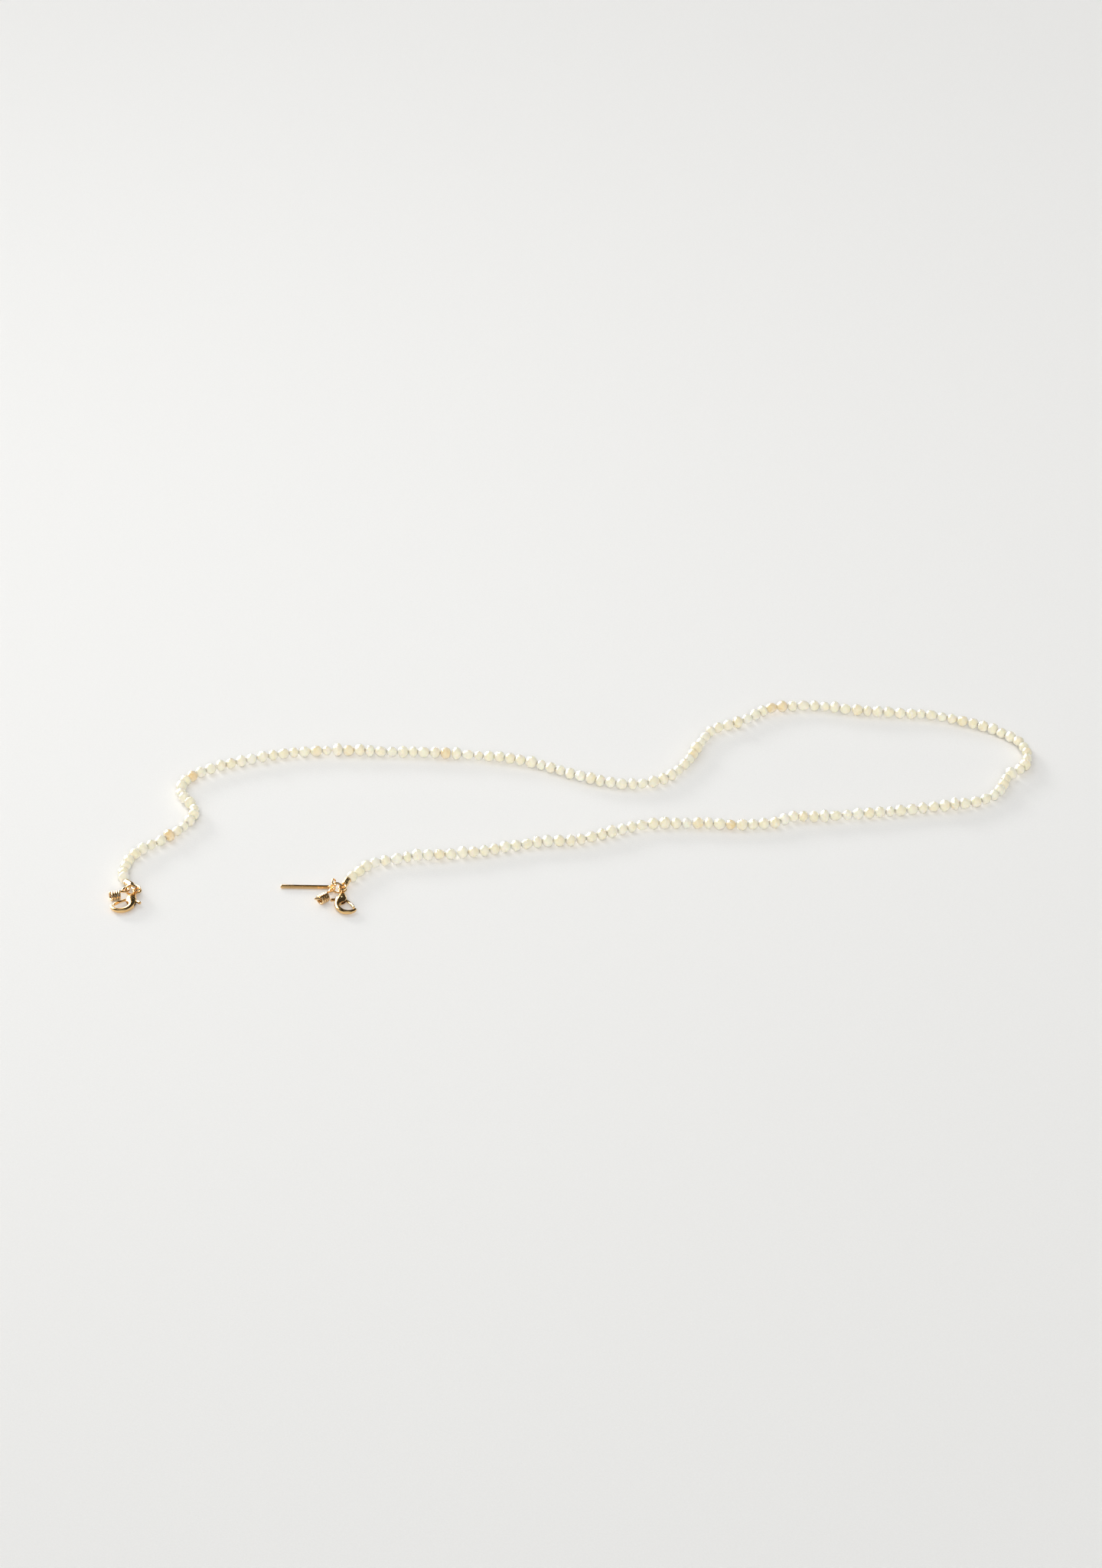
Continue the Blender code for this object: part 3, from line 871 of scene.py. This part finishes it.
def make_clasp(side):
    """A cast lobster claw, slotted for its lever, with a riveted pin and a leaf spring."""
    local = clasp_matrix(side)
    claw = flat_sweep(f"clasp_{side}_claw_cast", CLAW, 32, 6, 0.74)
    circle = eye_path(0.0, CLASP_EYE_RADIUS, CLASP_EYE_RADIUS)
    loops = wire_loops(circle, CLASP_EYE_WIRE, 16, closed=True)
    cut(claw, skin("eye", loops, closed=True), "UNION")
    slot_path = [(SLOT_FROM, -3.0), (SLOT_FROM, 3.0), (SLOT_TO, 3.0), (SLOT_TO, -3.0)]
    slot_sides = [[Vector((x, y, z)) for x, y in slot_path] for z in (-SLOT_HALF, SLOT_HALF)]
    cut(claw, skin("slot", slot_sides))
    bore = ((-2, PIN_BORE), (2, PIN_BORE))
    cut(claw, peg("bore", bore))
    place_local(claw, local)
    finish_piece(claw, GOLD, f"clasp_{side}", "gold", f"clasp_{side}_claw")
    lever = flat_sweep(f"clasp_{side}_lever_cast", LEVER, 20, 6, 0.8)
    cut(lever, peg("bore", bore))
    place_local(lever, local)
    finish_piece(lever, GOLD, f"lever_{side}", "gold", f"clasp_{side}_lever")
    head = [(0.72, PIN_RADIUS), (0.78, 0.17), (0.8, 0.1)]
    pin = peg(f"clasp_{side}_pin_rivet", [(-z, radius) for z, radius in head[::-1]] + head)
    place_local(pin, local)
    finish_piece(pin, WIRE, f"clasp_{side}", "gold", f"clasp_{side}_pin")
    strip = [(x, y, SPRING_HALF_THICK, SPRING_HALF_WIDE) for x, y in SPRING]
    leaf = flat_sweep(f"clasp_{side}_spring_leaf", strip, 12, 8, 0.45)
    place_local(leaf, local)
    finish_piece(leaf, STEEL, f"clasp_{side}", "spring_steel", f"clasp_{side}_spring")


EYE_RADIUS = 0.7
OPEN_STEPS = 36
OPEN_GAP_DEGREES = 30
COIL_RADIUS = 0.92
COIL_WIRE = 0.24
COIL_TURNS = 4
COIL_PITCH = 0.53
COIL_TAIL = 1.25
COIL_STEPS = 40
COIL_CREST = 0.12
ROD_RADIUS = 0.45
ROD_TOP = 0.95
ROD_EYE_RADIUS = 0.8
ROD_EYE_RISE = 0.2
ROD_EYE_WIRE = 0.2


def open_eye(root, centre, direction, radius):
    """An open loop of wire round the given direction, its gap towards the root of the wire."""
    away = root - centre
    away = (away - direction * away.dot(direction)).normalized()
    aside = direction.cross(away)
    gap = math.radians(OPEN_GAP_DEGREES)
    points = []
    for i in range(OPEN_STEPS + 1):
        angle = gap + (2 * math.pi - 2 * gap) * i / OPEN_STEPS
        points.append(centre + (away * math.cos(angle) + aside * math.sin(angle)) * radius)
    return points


def coil_axis(side):
    """The start of a coil's crest and the coil's heading, from the CAD coil's highest points."""
    points = node_points(f"coil_{side}")
    top = points[:, 2].max()
    crest = points[points[:, 2] > top - COIL_CREST]
    middle = crest.mean(axis=0)
    spread = crest[:, :2] - middle[:2]
    _, _, rows = np.linalg.svd(spread)
    heading = Vector((*rows[0], 0.0)).normalized()
    eye = joint_place(f"coil_{side}_turn")
    if heading.dot(eye - Vector(middle)) < 0:
        heading = -heading
    along = spread @ np.array(heading[:2])
    start = Vector(middle) + heading * (along.min() + COIL_WIRE)
    start.z = top - COIL_WIRE - COIL_RADIUS
    return start, heading


def make_coil(side):
    """Close-wound wire, a leg and an open eye on the jump ring. The right coil keeps a cut tail."""
    start, heading = coil_axis(side)
    across = UP.cross(heading)
    crest = start + UP * COIL_RADIUS
    points = []
    if side == "right":
        tail = [
            crest - heading * COIL_TAIL + across * 0.15,
            crest - heading * COIL_TAIL * 0.6 - across * 0.2 - UP * 0.03,
            crest - heading * COIL_TAIL * 0.25 - across * 0.42 - UP * 0.06,
            crest - across * 0.3 - UP * 0.04,
            crest,
        ]
        points += smooth_path(tail, 8)[:-1]
    for i in range(COIL_TURNS * COIL_STEPS + 1):
        angle = 2 * math.pi * i / COIL_STEPS
        points.append(
            start
            + heading * COIL_PITCH * i / COIL_STEPS
            + across * COIL_RADIUS * math.sin(angle)
            + UP * COIL_RADIUS * math.cos(angle)
        )
    name = f"coil_{side}_turn"
    eye = open_eye(points[-1], joint_place(name), joint_axis(name), EYE_RADIUS)
    leg = smooth_path([points[-4], points[-1], points[-1].lerp(eye[0], 0.5), eye[0], eye[2]], 8)
    points = points[:-4] + leg[:-8] + eye[1:]
    coil = skin(f"coil_{side}_wound", wire_loops(points, COIL_WIRE, 14))
    finish_piece(coil, WIRE, f"coil_{side}", "gold", f"coil_{side}")


def make_bar():
    """A straight drawn bar with softened ends, and a wire eye standing up from one end."""
    mount = next(m for m in frame["record"]["mounts"] if m["name"] == "bar_end")
    tip = Vector(mount["pos_m"]) / MM
    back = -Vector(mount["axis"]).normalized()
    points = node_points("bar_drop")
    low = points[points[:, 2] < ROD_TOP]
    length = max(Vector(corner - np.array(tip)).dot(back) for corner in low)
    profile = [(0.0, 0.3), (0.03, 0.37), (0.1, 0.43), (0.2, ROD_RADIUS)]
    profile += [(length - x, radius) for x, radius in reversed(profile)]
    bar = skin("bar_drop_rod", turned(profile, 36))
    place_local(bar, axes_matrix(tip, back, UP))
    eye = joint_place("bar_swing")
    direction = joint_axis("bar_swing")
    root = tip + back * (length - ROD_RADIUS)
    loop = open_eye(root, eye + UP * ROD_EYE_RISE, direction, ROD_EYE_RADIUS)
    wire = skin("eye", wire_loops([root, root.lerp(loop[0], 0.5), *loop], ROD_EYE_WIRE, 14))
    cut(bar, wire, "UNION")
    finish_piece(bar, SHADED_ROD_GOLD, "bar", "gold", "bar_drop")


# ---------------------------------------------------------------- the necklace

runs = {}
for run in range(1, RUNS + 1):
    runs[run] = make_run(run, random.Random(4100 + run))
for run in range(2, RUNS + 1):
    make_bend(run, runs[run - 1], runs[run])
for end in ("left", "right"):
    make_cap(end)
    make_ring(end)
    make_clasp(end)
    make_coil(end)
make_bar()


# ---------------------------------------------------------------- floor, light and camera

# metres, degrees and mm of lens
CAMERA_ELEVATION = 35.0
CAMERA_DISTANCE = 1.6
CAMERA_LENS = 160.3
TARGET_X = -0.00577
TARGET_Y = 0.01012
FLOOR_HALF = 3.0
FLOOR_DROP = 0.00002
KEY_FROM = (-0.6, 0.74, 0.3)
FRONT_FROM = (0.05, -0.76, 0.65)
TOP_FROM = (-0.25, 0.12, 0.5)
WINDOW_FROM = (-0.7, 0.64, 0.32)
# the room's brightness as the floor, the camera and mirrors see it
FILL = 0.32
BACKDROP = 0.86
WALLS = 0.05
MIRRORED = (
    # towards, half angle, softness, brightness
    (WINDOW_FROM, 34, 5, 11.0),
    ((0.5, 0.87, 0.05), 12, 6, 2.0),
    ((0.0, -0.75, 0.8), 22, 10, 0.7),
)


def make_floor():
    bm = bmesh.new()
    bmesh.ops.create_grid(bm, x_segments=4, y_segments=4, size=FLOOR_HALF)
    floor = new_object("floor", bm)
    floor.data.materials.append(floor_material())
    floor.location.z = -FLOOR_DROP


def make_light(name, kind, place, energy, colour, **settings):
    """A lamp that faces the origin and isn't mirrored in the gold."""
    data = bpy.data.lights.new(name, kind)
    data.energy = energy
    data.color = colour
    for key, value in settings.items():
        setattr(data, key, value)
    light = bpy.data.objects.new(name, data)
    light.location = place
    light.rotation_euler = (-Vector(place)).to_track_quat("-Z", "Y").to_euler()
    light.visible_glossy = False
    bpy.context.scene.collection.objects.link(light)


def make_world():
    """A pale even room. Gold and nacre mirror dark walls, a window, and two faint panels."""
    world = bpy.data.worlds.new("studio")
    world.use_nodes = True
    world.cycles.sampling_method = "NONE"
    tree = world.node_tree
    tree.nodes.clear()

    def add(kind, **settings):
        made = tree.nodes.new(kind)
        for key, value in settings.items():
            setattr(made, key, value)
        return made

    def lobe(towards, half_angle, soft, strength):
        """Brightness that fades out at half_angle degrees from a direction."""
        dot = add("ShaderNodeVectorMath", operation="DOT_PRODUCT")
        tree.links.new(add("ShaderNodeTexCoord").outputs["Generated"], dot.inputs[0])
        dot.inputs[1].default_value = Vector(towards).normalized()
        fade = add("ShaderNodeMapRange", interpolation_type="SMOOTHSTEP")
        tree.links.new(dot.outputs["Value"], fade.inputs["Value"])
        fade.inputs["From Min"].default_value = math.cos(math.radians(half_angle + soft))
        fade.inputs["From Max"].default_value = math.cos(math.radians(half_angle - soft))
        fade.inputs["To Min"].default_value = 0.0
        fade.inputs["To Max"].default_value = strength
        return fade.outputs["Result"]

    def total(a, b):
        made = add("ShaderNodeMath", operation="ADD")
        for socket, value in zip(made.inputs, (a, b)):
            if isinstance(value, bpy.types.NodeSocket):
                tree.links.new(value, socket)
            else:
                socket.default_value = value
        return made.outputs[0]

    def background(colour, strength):
        made = add("ShaderNodeBackground")
        made.inputs["Color"].default_value = (*colour, 1.0)
        if isinstance(strength, bpy.types.NodeSocket):
            tree.links.new(strength, made.inputs["Strength"])
        else:
            made.inputs["Strength"].default_value = strength
        return made.outputs[0]

    def choose(factor, a, b):
        made = add("ShaderNodeMixShader")
        tree.links.new(factor, made.inputs[0])
        tree.links.new(a, made.inputs[1])
        tree.links.new(b, made.inputs[2])
        return made.outputs[0]

    path = add("ShaderNodeLightPath")
    mirrored = WALLS
    for towards, half_angle, soft, strength in MIRRORED:
        mirrored = total(lobe(towards, half_angle, soft, strength), mirrored)
    fill = background((1.0, 0.995, 0.985), FILL)
    seen = choose(path.outputs["Is Camera Ray"], fill, background((1.0, 1.0, 0.99), BACKDROP))
    seen = choose(path.outputs["Is Glossy Ray"], seen, background((1.0, 0.985, 0.96), mirrored))
    tree.links.new(seen, add("ShaderNodeOutputWorld").inputs["Surface"])
    bpy.context.scene.world = world


def make_camera():
    data = bpy.data.cameras.new("camera")
    data.lens = CAMERA_LENS
    data.sensor_width = 36.0
    data.clip_start = 0.05
    data.clip_end = 20.0
    camera = bpy.data.objects.new("camera", data)
    turn = math.radians(CAMERA_ELEVATION)
    back = Vector((0, -math.cos(turn), math.sin(turn)))
    target = Vector((TARGET_X, TARGET_Y, cad_low.z))
    camera.location = target + back * CAMERA_DISTANCE
    camera.rotation_euler = (-back).to_track_quat("-Z", "Y").to_euler()
    bpy.context.scene.collection.objects.link(camera)
    bpy.context.scene.camera = camera


make_floor()
make_light("key", "SUN", KEY_FROM, 1.1, (1.0, 0.985, 0.96), angle=math.radians(14))
make_light("front", "SUN", FRONT_FROM, 1.62, (1.0, 0.997, 0.99), angle=math.radians(40))
make_light("top", "AREA", TOP_FROM, 0.82, (1.0, 1.0, 0.99), shape="SQUARE", size=0.4)
make_world()
make_camera()
bpy.context.scene.view_settings.view_transform = "Standard"
bpy.context.scene.view_settings.look = "None"
